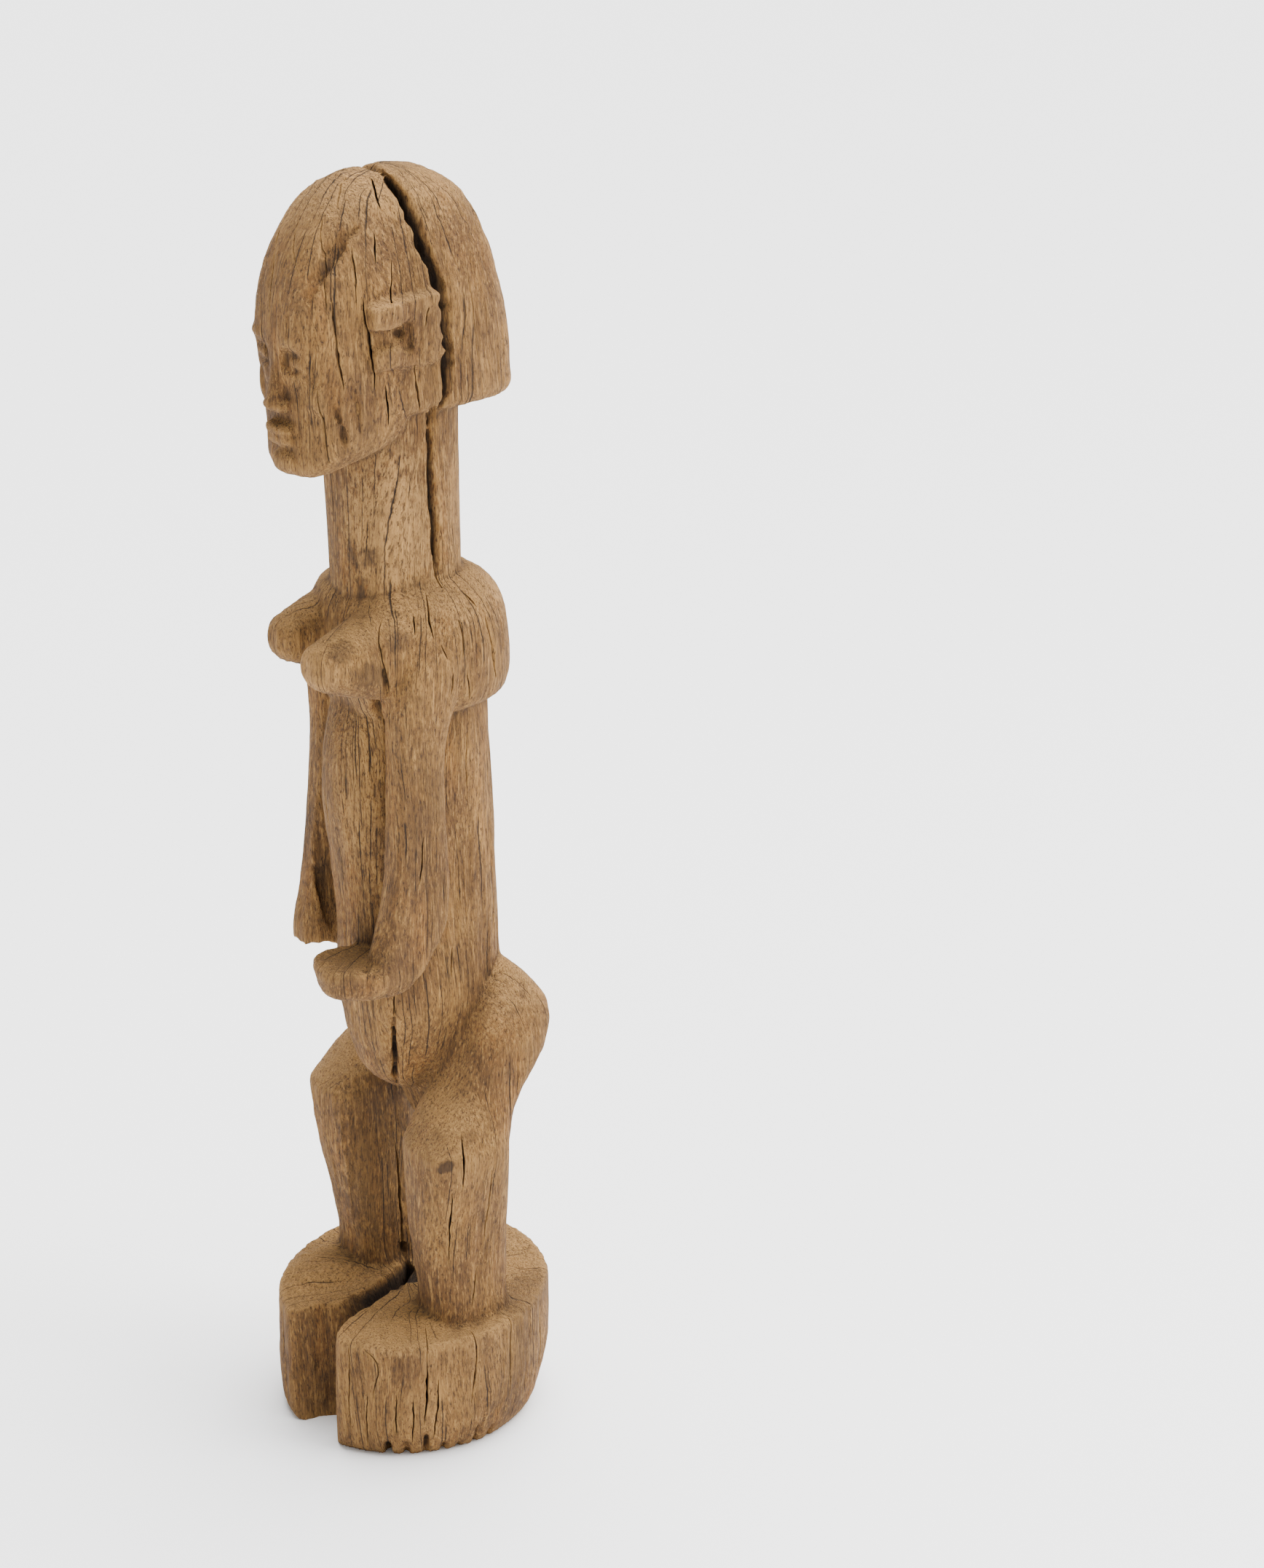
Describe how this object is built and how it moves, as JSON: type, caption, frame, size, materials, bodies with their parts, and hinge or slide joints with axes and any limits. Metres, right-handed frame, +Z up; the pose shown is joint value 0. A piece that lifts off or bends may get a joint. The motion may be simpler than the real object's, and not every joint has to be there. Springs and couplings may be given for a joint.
{
  "type": "dogon figure",
  "caption": "Standing weathered wooden figure with a tall split head, long neck, arms close to the trunk and bent legs, on a round plinth cut from the same log.",
  "frame": {"origin": "on the floor, at the middle of the plinth's underside", "axes": "+Z up along the log, -Y the way the figure faces, +X to the figure's own left"},
  "size_m": [0.1298, 0.129, 0.6],
  "materials": {
    "weathered_wood": "bare hardwood, dry and weathered, with open grain and drying checks"
  },
  "bodies": {
    "root": {"figure": "weathered_wood"}
  },
  "joints": []
}
